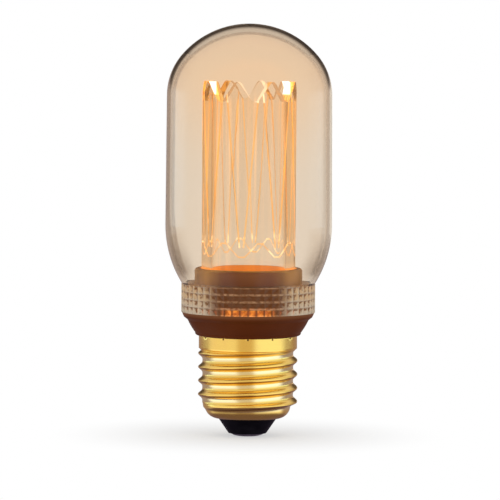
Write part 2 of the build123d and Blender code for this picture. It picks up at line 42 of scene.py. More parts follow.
# Centre contact: a small pressed button at the very tip, riveted through the insulator.
# It is nickel-plated brass, dull and finely turned, because it rubs on the socket's spring.
class Shade:
    """One socket of a node tree. Arithmetic on it adds Math nodes."""

    def __init__(self, tree, socket):
        self.tree = tree
        self.socket = socket

    def node(self, kind, settings=None, sockets=None, out=0):
        """Adds a node of that kind: its settings first, then the values or links of its sockets."""
        made = self.tree.nodes.new(kind)
        for name, value in (settings or {}).items():
            if name == "stops":
                ramp = made.color_ramp.elements
                while len(ramp) < len(value):
                    ramp.new(1.0)
                for stop, (position, colour) in zip(ramp, value):
                    stop.position = position
                    stop.color = (*colour, 1.0)
            else:
                setattr(made, name, value)
        for key, value in (sockets or {}).items():
            if isinstance(value, Shade):
                self.tree.links.new(value.socket, made.inputs[key])
            else:
                made.inputs[key].default_value = value
        return Shade(self.tree, made.outputs[out])

    def math(self, operation, *values):
        """A Math node on the given values, or on this value alone."""
        sockets = dict(enumerate(values or (self,)))
        return self.node("ShaderNodeMath", {"operation": operation}, sockets)

    def __add__(self, other):
        return self.math("ADD", self, other)

    def __radd__(self, other):
        return self.math("ADD", other, self)

    def __sub__(self, other):
        return self.math("SUBTRACT", self, other)

    def __rsub__(self, other):
        return self.math("SUBTRACT", other, self)

    def __mul__(self, other):
        return self.math("MULTIPLY", self, other)

    def __rmul__(self, other):
        return self.math("MULTIPLY", other, self)

    def __truediv__(self, other):
        return self.math("DIVIDE", self, other)

    def __rtruediv__(self, other):
        return self.math("DIVIDE", other, self)

    def __gt__(self, other):
        return self.math("GREATER_THAN", self, other)

    def __lt__(self, other):
        return self.math("LESS_THAN", self, other)

    def between(self, low, high):
        """0 at low and below, 1 at high and above, smooth between them."""
        return self.node(
            "ShaderNodeMapRange",
            {"interpolation_type": "SMOOTHSTEP"},
            {"Value": self, "From Min": low, "From Max": high},
        )

    def fading(self, low, high):
        """1 at low and below, 0 at high and above, smooth between them."""
        return 1.0 - self.between(low, high)

    def within(self, low, full, fade, high):
        """1 from full to fade, 0 below low and above high, smooth between them."""
        return self.between(low, full) * self.fading(fade, high)

    def mixed(self, first, second):
        """A colour between two colours, by this value."""
        return self.node(
            "ShaderNodeMix",
            {"data_type": "RGBA"},
            {"Factor": self, 6: colour_of(first), 7: colour_of(second)},
            out=2,
        )

    def ramp(self, *stops):
        """A colour from a row of stops, each a position and a colour, by this value."""
        return self.node("ShaderNodeValToRGB", {"stops": stops}, {"Fac": self})

    def part(self, axis):
        """One coordinate of a vector."""
        return self.node("ShaderNodeSeparateXYZ", None, {0: self}, out=axis)

    def vector(self, operation, *others, out="Vector"):
        """A Vector Math node on this vector and any others."""
        sockets = dict(enumerate((self, *others)))
        return self.node("ShaderNodeVectorMath", {"operation": operation}, sockets, out)

    def off_axis(self):
        """A vector's part across the bulb's axis."""
        return self.vector("MULTIPLY", (1.0, 1.0, 0.0))

    def from_axis(self):
        """The distance from the bulb's axis."""
        return self.off_axis().vector("LENGTH", out="Value")

    def round_axis(self):
        """The angle about the bulb's axis."""
        return self.math("ARCTAN2", self.part("Y"), self.part("X"))

    def noise(self, scale, detail=3.0, stretch=(1.0, 1.0, 1.0)):
        """A cloud of values round a half, on coordinates that may be stretched."""
        where = self.node("ShaderNodeMapping", None, {"Vector": self, "Scale": stretch})
        sockets = {"Vector": where, "Scale": scale, "Detail": detail}
        return self.node("ShaderNodeTexNoise", None, sockets)

    def bump(self, strength, distance):
        """A normal that follows this value as a height."""
        sockets = {"Strength": strength, "Distance": distance, "Height": self}
        return self.node("ShaderNodeBump", None, sockets)


def colour_of(value):
    """A colour as a socket takes it."""
    return value if isinstance(value, Shade) else (*value, 1.0)


class Finish:
    """A material with one shader, its constant settings and the coordinates that vary it."""

    def __init__(self, name, **constants):
        self.material = bpy.data.materials.new(name)
        self.material.use_nodes = True
        tree = self.material.node_tree
        self.shader = tree.nodes["Principled BSDF"]
        for key, value in constants.items():
            socket = self.shader.inputs[key.replace("_", " ")]
            socket.default_value = colour_of(value) if isinstance(value, tuple) else value
        self.place = Shade(tree, tree.nodes.new("ShaderNodeTexCoord").outputs["Object"])

    def edge_on(self, **sockets):
        """0 where the surface, or a given normal, is met square on and 1 where it is edge on."""
        sockets = {"Blend": 0.5, **sockets}
        return self.place.node("ShaderNodeLayerWeight", None, sockets, "Facing")

    def vary(self, **links):
        """Links values that change over the surface to the shader's sockets."""
        links_of_tree = self.material.node_tree.links
        for key, value in links.items():
            links_of_tree.new(value.socket, self.shader.inputs[key.replace("_", " ")])

    def on(self, *objects):
        """Puts the finish on some objects."""
        for piece in objects:
            piece.data.materials.clear()
            piece.data.materials.append(self.material)


turning_rate = 9000.0  # radians a metre
dull_nickel = (0.20, 0.20, 0.22)
pale_nickel = (0.34, 0.34, 0.36)
contact_metal = Finish("contact_metal", Metallic=1.0)
turning = (contact_metal.place.from_axis() * turning_rate).math("SINE")
tarnish = contact_metal.place.noise(scale=420.0, detail=4.0)
contact_metal.vary(
    Base_Color=tarnish.between(0.35, 0.7).mixed(dull_nickel, pale_nickel),
    Roughness=0.28 + 0.22 * tarnish,
    Normal=turning.bump(strength=0.12, distance=0.05 * MM),
)
contact_metal.on(nodes["centre_contact"])

# Insulator: black glass-filled moulding, a cone between the contact and the shell's lip.
# It is pressed in from below, and its skin is glossy with a faint flow in it.
deep_black = (0.0025, 0.002, 0.0035)
flow_black = (0.006, 0.005, 0.008)
black_insulator = Finish("black_insulator", Specular_IOR_Level=0.06)
flow = black_insulator.place.noise(scale=260.0, detail=4.0, stretch=(1.0, 1.0, 2.5))
black_insulator.vary(
    Base_Color=flow.between(0.3, 0.75).mixed(deep_black, flow_black),
    Roughness=0.26 + 0.2 * flow,
    Normal=flow.bump(strength=0.15, distance=0.03 * MM),
)
black_insulator.on(nodes["cap_insulator"])

# Screw shell: thin brass sheet, rolled to the thread, gold-plated and staked to the collar.
# The rolling leaves round roots between sharper crests, and faint lines round the shell.
lip_radius = 7.8 * MM
lip_z = 4.75 * MM
bowl_radius = 11.35 * MM
bowl_corner = 3.25 * MM
bowl_top_z = lip_z + bowl_corner
thread_foot_z = 8.9 * MM
thread_fade_z = 6.7 * MM
thread_head_z = 22.4 * MM
skirt_foot_z = 23.4 * MM
shell_top_z = 26.8 * MM
skirt_radius = 13.05 * MM
edge_round = 0.15 * MM
thread_root = 12.05 * MM
thread_crest = 13.2 * MM
thread_pitch = 3.63 * MM
thread_start_z = 7.4 * MM
thread_sharpness = 1.8
sheet_thickness = 0.4 * MM
stake_count = 12
stake_z = shell_top_z - 0.32 * MM
stake_radius = 0.34 * MM
stake_depth = 0.22 * MM
shell_parts = 168
rich_gold = (0.95, 0.62, 0.15)
worn_gold = (0.91, 0.57, 0.15)
highlight_gold = (0.95, 0.79, 0.44)
shaded_gold = (0.36, 0.16, 0.03)
stake_shade_brown = (0.16, 0.07, 0.02)


def section_start(shape, radius, z):
    """The first point of a section, in the plane of X and Z."""
    return bmesh.ops.create_vert(shape, co=(radius, 0.0, z))["vert"][0]


def section_line(shape, vert, radius, z, parts=1):
    """Draws the section on in a straight line, in a number of equal parts."""
    step = (Vector((radius, 0.0, z)) - vert.co) / parts
    for _ in range(parts):
        vert = bmesh.ops.extrude_vert_indiv(shape, verts=[vert])["verts"][0]
        bmesh.ops.translate(shape, verts=[vert], vec=step)
    return vert


def section_corner(shape, vert, radius, z, parts):
    """Draws the section on in a quarter circle about a centre, anticlockwise."""
    made = bmesh.ops.spin(
        shape,
        geom=[vert],
        cent=(radius, 0.0, z),
        axis=(0.0, -1.0, 0.0),
        angle=math.radians(90.0),
        steps=parts,
    )
    return made["geom_last"][0]


def turned(shape, parts):
    """Spins the section round the bulb's axis and closes it."""
    bmesh.ops.spin(
        shape,
        geom=shape.verts[:] + shape.edges[:],
        cent=(0.0, 0.0, 0.0),
        axis=(0.0, 0.0, 1.0),
        angle=math.tau,
        steps=parts,
        use_merge=True,
    )
    bmesh.ops.remove_doubles(shape, verts=shape.verts[:], dist=0.001 * MM)
    bmesh.ops.recalc_face_normals(shape, faces=shape.faces[:])


def made_piece(name, shape, slot, *replaced, smooth=True):
    """Turns a finished mesh into a piece of the bulb that stands for its CAD nodes."""
    mesh = bpy.data.meshes.new(name)
    for face in shape.faces:
        face.smooth = smooth
    shape.to_mesh(mesh)
    shape.free()
    piece = bpy.data.objects.new(name, mesh)
    bpy.context.scene.collection.objects.link(piece)
    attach(piece, "root")
    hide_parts(*replaced)
    return piece


def eased(value, low, high):
    """0 at low and below, 1 at high and above, smooth between them."""
    share = min(max((value - low) / (high - low), 0.0), 1.0)
    return share * share * (3.0 - 2.0 * share)


def thread_height(z, turn):
    """How far the rolled thread stands above its root, as a share of its depth."""
    along = (z - thread_start_z) / thread_pitch - (turn - math.pi) / math.tau
    return (0.5 + 0.5 * math.cos(math.tau * along)) ** thread_sharpness


shell_form = bmesh.new()
end = section_start(shell_form, lip_radius, lip_z)
end = section_line(shell_form, end, bowl_radius - bowl_corner, lip_z)
end = section_corner(shell_form, end, bowl_radius - bowl_corner, bowl_top_z, parts=26)
for radius, z, parts in (
    (thread_root, thread_foot_z, 8),
    (thread_root, thread_head_z, 112),
    (skirt_radius, skirt_foot_z, 9),
    (skirt_radius, stake_z - stake_radius, 8),
    (skirt_radius, shell_top_z - edge_round, 8),
):
    end = section_line(shell_form, end, radius, z, parts)
section_corner(shell_form, end, skirt_radius - edge_round, shell_top_z - edge_round, parts=3)
turned(shell_form, shell_parts)
for vert in shell_form.verts:
    turn = math.atan2(vert.co.y, vert.co.x) % math.tau
    z = vert.co.z
    fade = eased(z, thread_fade_z, thread_foot_z) * (1.0 - eased(z, thread_head_z, skirt_foot_z))
    rise = (thread_crest - thread_root) * thread_height(z, turn) * fade
    radius = vert.co.to_2d().length
    if thread_fade_z < z < skirt_foot_z:
        radius = max(radius, (thread_root if z > thread_foot_z else radius) + rise)
    nearest = (turn * stake_count / math.tau + 0.5) % 1.0 - 0.5
    away = math.hypot(nearest * math.tau / stake_count * skirt_radius, z - stake_z)
    radius -= stake_depth * (1.0 - eased(away, 0.0, stake_radius))
    vert.co.x = radius * math.cos(turn)
    vert.co.y = radius * math.sin(turn)
shell = made_piece("rolled_shell", shell_form, "gold_shell", "screw_shell")
sheet = shell.modifiers.new("sheet", "SOLIDIFY")
sheet.thickness = sheet_thickness
sheet.offset = -1.0

gold_shell = Finish("gold_shell", Metallic=1.0)
around = gold_shell.place.round_axis()
height = gold_shell.place.part("Z")
along = (height - thread_start_z) / thread_pitch - around / math.tau + 0.5
phase = along.math("FRACT")
threaded = height.within(thread_fade_z, bowl_top_z, thread_head_z, skirt_foot_z)
# Painted shade and highlight: a dark band just under each crest and a pale band along each root.
shadow = phase.within(0.78, 0.88, 0.92, 0.99) * threaded
root_highlight = phase.within(0.40, 0.52, 0.70, 0.80) * threaded
# Painted shade: each stake dent is painted dark brown.
nearest = (around * (stake_count / math.tau) + 0.5).math("FRACT") - 0.5
beside_stake = nearest * (math.tau * skirt_radius / stake_count)
above_stake = height - stake_z
away = (beside_stake * beside_stake + above_stake * above_stake).math("SQRT")
stake_shade = away.fading(0.5 * stake_radius, stake_radius)
rolling = gold_shell.place.noise(scale=90.0, detail=5.0, stretch=(0.6, 0.6, 22.0))
wear = gold_shell.place.noise(scale=300.0, detail=4.0)
plate = wear.between(0.45, 0.8).mixed(rich_gold, worn_gold)
plate = root_highlight.mixed(plate, highlight_gold)
plate = shadow.mixed(plate, shaded_gold)
gold_shell.vary(
    Base_Color=stake_shade.mixed(plate, stake_shade_brown),
    Roughness=0.13 + 0.08 * rolling + 0.05 * wear,
    Normal=rolling.bump(strength=0.08, distance=0.02 * MM),
)
gold_shell.on(shell)

# Housing: the dark brown collar that shows, the sleeve in the shell and the pedestal in the cup.
# One moulding in heat-proof plastic with a satin skin, and a painted highlight makes it paler along
# the collar's top edge.
collar_edge_z = 31.6 * MM
collar_top_z = 32.9 * MM
dark_brown = (0.085, 0.0165, 0.0030)
warm_brown = (0.108, 0.0230, 0.0045)
top_highlight_brown = (0.200, 0.070, 0.026)
collar_plastic = Finish("collar_plastic", Specular_IOR_Level=0.04)
grain = collar_plastic.place.noise(scale=900.0)
cloud = collar_plastic.place.noise(scale=70.0)
brown = cloud.between(0.3, 0.7).mixed(dark_brown, warm_brown)
# Painted highlight: a paler band along the collar's top edge.
edge = collar_plastic.place.part("Z").between(collar_edge_z, collar_top_z)
collar_plastic.vary(
    Base_Color=edge.mixed(brown, top_highlight_brown),
    Roughness=0.32 + 0.12 * grain,
    Normal=grain.bump(strength=0.12, distance=0.02 * MM),
)
collar_plastic.on(nodes["base_housing"])

# Driver: a green board upright in the sleeve, with its can, choke, two packages and a resistor.
# It is soldered up before the sleeve is closed, and nothing of it shows from outside.
track_rate = 2600.0  # radians a metre
mask_green = (0.012, 0.085, 0.030)
track_green = (0.030, 0.150, 0.055)
board_green = Finish("board_green", Coat_Weight=0.5, Coat_Roughness=0.2)
weave = board_green.place.noise(scale=1400.0, detail=2.0)
tracks = (board_green.place.part("Z") * track_rate).math("SINE")
board_green.vary(
    Base_Color=tracks.between(0.75, 0.85).mixed(mask_green, track_green),
    Roughness=0.35 + 0.2 * weave,
    Normal=weave.bump(strength=0.1, distance=0.02 * MM),
)
board_green.on(nodes["driver_board"])


def plain_finish(name, pieces, dark, light, scale, rough, metallic=0.0):
    """Puts on some pieces a finish that wanders a little between two shades."""
    finish = Finish(name, Metallic=metallic)
    drift = finish.place.noise(scale, detail=4.0)
    finish.vary(
        Base_Color=drift.between(0.3, 0.7).mixed(dark, light),
        Roughness=rough + 0.15 * drift,
        Normal=drift.bump(strength=0.1, distance=0.03 * MM),
    )
    finish.on(*(nodes[piece] for piece in pieces))


plain_finish(
    "can_sleeve",
    ["filter_capacitor"],
    dark=(0.004, 0.005, 0.009),
    light=(0.008, 0.009, 0.016),
    scale=350.0,
    rough=0.2,
)
plain_finish(
    "ferrite",
    ["choke_core"],
    dark=(0.010, 0.010, 0.011),
    light=(0.020, 0.020, 0.022),
    scale=1200.0,
    rough=0.6,
)
plain_finish(
    "package_black",
    ["bridge_rectifier", "driver_chip"],
    dark=(0.004, 0.004, 0.004),
    light=(0.008, 0.008, 0.009),
    scale=1500.0,
    rough=0.5,
)
plain_finish(
    "resistor_coat",
    ["fusible_resistor"],
    dark=(0.12, 0.17, 0.14),
    light=(0.18, 0.24, 0.19),
    scale=600.0,
    rough=0.4,
)

# Choke winding: enamelled copper wire in close turns on the ferrite drum.
# Each turn is a fine ridge across the coil, painted lighter on its top and darker between turns.
winding_rate = 21000.0  # radians a metre
shaded_copper = (0.26, 0.08, 0.03)
highlight_copper = (0.62, 0.25, 0.10)
copper_wire = Finish("copper_wire", Metallic=1.0, Coat_Weight=0.5, Coat_Roughness=0.1)
turns = (copper_wire.place.part("Y") * winding_rate).math("SINE")
copper_wire.vary(
    Base_Color=turns.between(-1.0, 1.0).mixed(shaded_copper, highlight_copper),
    Roughness=0.32 - 0.08 * turns,
    Normal=turns.bump(strength=0.5, distance=0.1 * MM),
)
copper_wire.on(nodes["choke_winding"])

# Leads: four insulated wires, from the driver to the contact, the shell and the light board.
# Each has a soft plastic skin, slightly waxy, and is soldered at its ends.
plain_finish(
    "lead_red",
    ["contact_lead", "led_lead_positive"],
    dark=(0.34, 0.008, 0.005),
    light=(0.44, 0.014, 0.009),
    scale=500.0,
    rough=0.32,
)
plain_finish(
    "lead_black",
    ["shell_lead", "led_lead_negative"],
    dark=(0.005, 0.005, 0.006),
    light=(0.011, 0.011, 0.012),
    scale=500.0,
    rough=0.32,
)

# Light board: a round metal-core board under a white mask, screwed to the pedestal.
# The chips on it shine up into the guide's wall, and their light on the board is painted as an
# orange glow towards its edge.
dim_radius = 5.0 * MM
lit_radius = 12.0 * MM
dull_white = (0.78, 0.76, 0.70)
clean_white = (0.86, 0.85, 0.80)
centre_glow_orange = (0.02, 0.008, 0.002)
edge_glow_orange = (0.55, 0.16, 0.03)
light_board_white = Finish("light_board_white", Coat_Weight=0.2, Emission_Strength=1.0)
mask_skin = light_board_white.place.noise(scale=800.0)
board_glow = light_board_white.place.from_axis().between(dim_radius, lit_radius)
light_board_white.vary(
    Base_Color=mask_skin.between(0.3, 0.7).mixed(dull_white, clean_white),
    Roughness=0.35 + 0.15 * mask_skin,
    Emission_Color=board_glow.mixed(centre_glow_orange, edge_glow_orange),
    Normal=mask_skin.bump(strength=0.08, distance=0.02 * MM),
)
light_board_white.on(nodes["led_board"])

# Chips: sixteen small packages under yellow gel, soldered in a ring.
# They are the source of all the bulb's light.
gel_amber = (0.85, 0.42, 0.03)
gel_yellow = (0.95, 0.56, 0.06)
warm_light = (1.0, 0.52, 0.16)
bright_light = (1.0, 0.62, 0.22)
chip_yellow = Finish("chip_yellow", Roughness=0.3, Emission_Strength=1.0)
gel = chip_yellow.place.noise(scale=900.0, detail=2.0)
chip_yellow.vary(
    Base_Color=gel.mixed(gel_amber, gel_yellow),
    Emission_Color=gel.mixed(warm_light, bright_light),
)
chip_yellow.on(nodes["led_chips"])

# Screws: two zinc-plated cross-head screws through the board into the pedestal's bosses.
# The plate is bright, with a little scuffing from the driver.
plain_finish(
    "screw_steel",
    ["board_screws"],
    dark=(0.42, 0.42, 0.44),
    light=(0.58, 0.58, 0.60),
    scale=1400.0,
    rough=0.24,
    metallic=1.0,
)

# Cup: brown translucent moulding that stands over the pedestal and holds the guide's foot.
# Its rim is round. Its bore is painted with an orange glow and its foot with a fainter one, for the
# chips' stray light, and its wall is painted paler where it is seen edge on, for light coming
# through the thin plastic.
cup_bore = 12.6 * MM
bore_glow_depth = (cup_bore + 0.02 * MM, cup_bore + 0.35 * MM)
cup_foot_z = 33.0 * MM
leak_top = (cup_foot_z + 0.9 * MM, cup_foot_z + 1.6 * MM)
ring_top_z = 40.5 * MM
ring_cover_top = (ring_top_z - 0.1 * MM, ring_top_z + 0.3 * MM)
cup_brown = (0.32, 0.104, 0.029)
cup_tan = (0.39, 0.138, 0.041)
edge_light_tan = (0.56, 0.27, 0.055)
edge_light_gold = (0.82, 0.44, 0.11)
bore_orange = (0.69, 0.205, 0.010)
leak_orange = (0.75, 0.22, 0.04)
unlit = (0.0, 0.0, 0.0)
cup_plastic = Finish("cup_plastic", Specular_IOR_Level=0.05, Emission_Strength=1.0)
streak = cup_plastic.place.noise(scale=160.0, stretch=(1.0, 1.0, 0.25))
height = cup_plastic.place.part("Z")
bore_glow = cup_plastic.place.from_axis().fading(*bore_glow_depth)
# Painted light: the wall is paler and more golden where it is seen edge on.
through_wall_light = cup_plastic.edge_on().between(0.08, 0.42)
skin = streak.between(0.3, 0.7).mixed(cup_brown, cup_tan)
skin = through_wall_light.mixed(skin, streak.between(0.35, 0.65).mixed(edge_light_tan, edge_light_gold))
# Painted light and shade: below the ring's top, the wall is painted in dark, light and orange bands
# for what is seen of it through the ring.
light_and_shade_bands = ((height - cup_foot_z) / (ring_top_z - cup_foot_z)).ramp(
    (0.0, (0.46, 0.17, 0.05)),
    (0.18, (0.42, 0.14, 0.04)),
    (0.24, (0.05, 0.022, 0.010)),
    (0.46, (0.10, 0.034, 0.014)),
    (0.52, (0.40, 0.24, 0.15)),
    (0.58, (0.09, 0.035, 0.018)),
    (0.76, (0.19, 0.070, 0.034)),
    (0.84, (0.030, 0.016, 0.009)),
    (1.0, (0.05, 0.025, 0.012)),
)
behind_ring = height.fading(*ring_cover_top)
skin = (behind_ring * (1.0 - through_wall_light)).mixed(skin, light_and_shade_bands)
# Painted glow: a faint orange glow near the cup's foot, where the wall is seen square on.
foot_glow = height.fading(*leak_top) * (1.0 - bore_glow) * (1.0 - through_wall_light)
cup_plastic.vary(
    Base_Color=skin,
    Roughness=0.26 + 0.14 * streak,
    Emission_Color=foot_glow.mixed(bore_glow.mixed(unlit, bore_orange), leak_orange),
    Normal=streak.bump(strength=0.06, distance=0.03 * MM),
)
cup_plastic.on(nodes["guide_cup"])

# Light guide: a thick clear acrylic tube, its top cut to a crown and its wall etched with a cage.
# Light runs up inside the wall and leaves it wherever the skin is broken, so the cuts and
# grooves glow.
guide_radius = 12.45 * MM
guide_bore = 9.7 * MM
guide_foot_z = 38.15 * MM
guide_top_z = 94.25 * MM
crown_depth = 5.2 * MM
crown_z = guide_top_z - crown_depth - 0.2 * MM
crown_middle = -0.6 * MM
crown_slope = (4.8 * MM, 5.4 * MM)
crown_flank = (7.9 * MM, 8.4 * MM, 10.9 * MM, 11.5 * MM)
crown_flank_foot = (90.6 * MM, 91.3 * MM)
crown_shade_foot = (88.0 * MM, 91.0 * MM)
wave_top = (52.5 * MM, 56.0 * MM)
glow_climb = (48.0 * MM, 80.0 * MM)
tint_climb = (46.0 * MM, 64.0 * MM)
rim_light_top = (44.6 * MM, 47.5 * MM)
groove_depth = 0.5 * MM
foot_face_z = guide_foot_z + 0.1 * MM
skin_radius = guide_radius - 0.05 * MM
bore_skin_radius = guide_bore + 0.08 * MM
wave_dim = (0.30, 0.16, 0.055)
wave_bright = (0.95, 0.74, 0.46)
line_amber = (0.27, 0.140, 0.035)
groove_amber = (0.95, 0.55, 0.22)
crown_white = (0.95, 0.85, 0.68)
crown_amber = (0.52, 0.30, 0.10)
crown_brown = (0.26, 0.095, 0.012)
crown_inside = (0.18, 0.075, 0.012)
rear_amber = (0.60, 0.38, 0.15)
flank_highlight_white = (1.35, 1.65, 1.9)
streak_glow_amber = (0.26, 0.115, 0.012)
rim_amber = (0.38, 0.165, 0.04)
foot_orange = (0.7, 0.26, 0.06)
clear_wall = (0.990, 0.960, 0.91)
guide_acrylic = Finish(
    "guide_acrylic", Roughness=0.0, IOR=1.49, Transmission_Weight=1.0, Emission_Strength=1.0
)
reach = guide_acrylic.place.from_axis()
across = guide_acrylic.place.part("X")
height = guide_acrylic.place.part("Z")
inside_wall = (reach > bore_skin_radius) * (reach < skin_radius)
outside = 1.0 - reach.node("ShaderNodeNewGeometry", out="Backfacing")
crown = inside_wall * (height > crown_z)
groove = (reach > guide_radius - groove_depth) * inside_wall
foot = inside_wall * (height < foot_face_z)
sideways = (across - crown_middle).math("ABSOLUTE")
flank = sideways.within(*crown_flank) * height.between(*crown_flank_foot)
rear = guide_acrylic.place.part("Y") > 0.0
slope = sideways.between(*crown_slope)
# Painted glow: the grooves, crown, foot and skin are given emission for the light that leaves the
# wall, with the grooves tinted orange. The crown gets white painted highlights on its flanks, a
# dimmer rear with a paler rear left, and a dim inner side, and the skin gets streaks that brighten
# up the wall.
sparkle = guide_acrylic.place.noise(scale=420.0, detail=2.0).between(0.45, 0.72)
wave_glow = sparkle.mixed(wave_dim, wave_bright)
line_glow = height.between(*wave_top).mixed(wave_glow, line_amber)
crown_glow = slope.mixed(crown_white, rear.mixed(crown_amber, crown_brown))
crown_glow = flank.mixed(crown_glow, flank_highlight_white)
crown_glow = (rear * (across < 0.0)).mixed(crown_glow, rear_amber)
crown_glow = (rear * slope * (1.0 - flank)).mixed(crown_glow, crown_brown)
crown_glow = outside.mixed(crown_inside, crown_glow)
edge_on = guide_acrylic.edge_on()
skin = reach > skin_radius
# Painted light and shade by the angle of view: the wall's tint gets a dark line and pale bands
# where it is seen edge on, and its skin glows brighter there.
clear = edge_on.ramp(
    (0.0, (0.982, 0.915, 0.83)),
    (0.16, (0.982, 0.915, 0.83)),
    (0.30, (0.930, 0.810, 0.62)),
    (0.36, (0.700, 0.490, 0.26)),
    (0.395, (0.630, 0.420, 0.20)),
    (0.425, (0.990, 0.900, 0.72)),
    (1.0, (0.990, 0.860, 0.62)),
)
edge_glow = edge_on.ramp(
    (0.0, (0.008, 0.002, 0.0)),
    (0.20, (0.014, 0.005, 0.0)),
    (0.33, (0.130, 0.056, 0.0)),
    (0.40, (0.040, 0.016, 0.0)),
    (0.44, (0.370, 0.185, 0.030)),
    (1.0, (0.390, 0.200, 0.038)),
)
below_crown = height.fading(*crown_shade_foot)
lit = (0.55 + 0.45 * height.between(*glow_climb)) * below_crown
rim_light = height.fading(*rim_light_top) * edge_on.between(0.2, 0.5)
glow_streaks = guide_acrylic.place.noise(scale=900.0, detail=2.0, stretch=(1.0, 1.0, 0.012))
glow_streaks = glow_streaks.between(0.46, 0.70)
glow = (skin * lit * (0.6 + 0.4 * glow_streaks)).mixed(unlit, edge_glow)
glow = (skin * glow_streaks * lit * 0.75).mixed(glow, streak_glow_amber)
glow = (skin * rim_light).mixed(glow, rim_amber)
glow = groove.mixed(glow, line_glow)
glow = crown.mixed(glow, crown_glow)
glow = foot.mixed(glow, foot_orange)
upper = (0.2 + 0.8 * height.between(*tint_climb)) * (0.3 + 0.7 * below_crown)
wall = (skin * upper).mixed(clear_wall, clear)
guide_acrylic.vary(
    Base_Color=groove.mixed(wall, groove_amber),
    Emission_Color=glow,
)
guide_acrylic.on(nodes["light_guide"])

# Knurled ring: clear amber moulding between the collar and the glass, glued to both.
# Four rows of small pyramid-shaped pits break up what is behind it.
ring_radius = 17.75 * MM
ring_bore = 14.5 * MM
ring_foot_z = 33.0 * MM
ring_lip_radius = 16.1 * MM
ring_lip_top_z = 41.0 * MM
pit_columns = 52
pit_rows = 4
pit_depth = 0.45 * MM
pit_face_radius = ring_radius - 0.1 * MM
lip_foot_z = ring_top_z - 0.01 * MM
front_pit = (0.205, 0.064, 0.019)
lit_pit_low = (1.0, 0.80, 0.57)
lit_pit_high = (1.0, 0.68, 0.38)
shaded_pit = (0.34, 0.145, 0.05)
front_crest = (0.72, 0.38, 0.19)
side_crest = (1.0, 0.90, 0.70)
spill_dim = (0.30, 0.062, 0.003)
spill_bright = (0.80, 0.24, 0.025)
front_lip_glow = (0.05, 0.03, 0.015)
side_lip_glow = (0.15, 0.095, 0.055)
ring_form = bmesh.new()
end = section_start(ring_form, ring_bore, ring_foot_z)
for radius, z, parts in (
    (ring_radius, ring_foot_z, 1),
    (ring_radius, ring_top_z, pit_rows),
    (ring_lip_radius, ring_top_z, 1),
    (ring_lip_radius, ring_lip_top_z, 1),
    (ring_bore, ring_lip_top_z, 1),
    (ring_bore, ring_foot_z, 1),
):
    end = section_line(ring_form, end, radius, z, parts)
turned(ring_form, pit_columns)
cells = []
for face in ring_form.faces:
    if face.calc_center_median().to_2d().length > pit_face_radius:
        cells.append(face)
bmesh.ops.poke(ring_form, faces=cells, offset=-pit_depth)
ring = made_piece("pitted_ring", ring_form, "ring_plastic", "knurled_ring", smooth=False)

ring_plastic = Finish(
    "ring_plastic",
    IOR=1.5,
    Transmission_Weight=0.4,
    Emission_Strength=1.0,
    Specular_Tint=(0.70, 0.48, 0.30),
)
height = ring_plastic.place.part("Z")
column = ring_plastic.place.round_axis() * (pit_columns / math.tau)
row = (height - ring_foot_z) * (pit_rows / (ring_top_z - ring_foot_z))
in_column = column.math("FRACT")
in_row = row.math("FRACT")
from_column = 1.0 - 2.0 * (in_column - 0.5).math("ABSOLUTE")
from_row = 1.0 - 2.0 * (in_row - 0.5).math("ABSOLUTE")
# Painted light and shade: the pits are dark where the ring is seen square on, with the dark cup
# behind, and pale at its sides. Each pit is painted lit on its lower outer side and shaded on its
# upper inner side. The crests between pits carry broken painted highlights, the lowest row has a
# painted orange glow at the front, and the lip has a faint painted glow.
outward = ring_plastic.place.off_axis().vector("NORMALIZE")
edge_on = ring_plastic.edge_on(Normal=outward)
side_on = edge_on.between(0.08, 0.28)
scuff_and_glint = ring_plastic.place.noise(scale=900.0)
glint = scuff_and_glint.between(0.35, 0.68)
glint_share = 0.15 + 0.85 * glint
row_crest = from_row.fading(0.10, 0.45) * glint_share
column_crest = side_on * from_column.fading(0.10, 0.55) * glint_share
crest_highlight = row_crest.math("MAXIMUM", row_crest, column_crest) * (1.0 - 0.45 * side_on)
right = ring_plastic.place.part("X") > 0.0
inward = (in_column - right).math("ABSOLUTE")
shaded = (0.5 * inward + 0.5 * in_row + 1.3 * (scuff_and_glint - 0.5)).between(0.36, 0.64)
lit_pit = row.between(0.8, 2.6).mixed(lit_pit_low, lit_pit_high)
pit = side_on.mixed(front_pit, shaded.mixed(lit_pit, shaded_pit))
spill = row.fading(0.70, 1.0) * edge_on.fading(0.04, 0.11) * from_column.between(0.0, 0.5)
spill_glow = spill.mixed(unlit, glint.mixed(spill_dim, spill_bright))
lip = height > lip_foot_z
ring_plastic.vary(
    Base_Color=crest_highlight.mixed(pit, side_on.mixed(front_crest, side_crest)),
    Roughness=0.03 + 0.12 * scuff_and_glint,
    Emission_Color=lip.mixed(spill_glow, side_on.mixed(front_lip_glow, side_lip_glow)),
)
ring_plastic.on(ring)

# Glass: blown amber-tinted tube with a domed top, thicker over the dome, set into the ring.
# It is clear, with only the slow waves that blowing leaves, and its tint deepens towards the top.
# Where the wall is seen edge on its tint is painted greyer, with dark lines of painted shade,
# heavier on the left, and a pale line of painted highlight on the right.
tint_climb = (64.0 * MM, 98.0 * MM)
dome_rise = (94.0 * MM, 106.0 * MM)
low_part_top = (50.0 * MM, 62.0 * MM)
foot_rise = (41.5 * MM, 44.5 * MM)
waist_top = (43.0 * MM, 55.0 * MM)
fold_top = (46.0 * MM, 56.0 * MM)
left_to_right = (-4.0 * MM, 4.0 * MM)
lower_tint = (0.896, 0.808, 0.708)
upper_tint = (0.926, 0.770, 0.610)
grey_tint = (0.85, 0.77, 0.67)
pale_edge = (0.98, 0.95, 0.91)
waist_shade = (0.52, 0.45, 0.38)
fold_shade = (0.30, 0.25, 0.20)
wall_shade = (0.24, 0.17, 0.115)
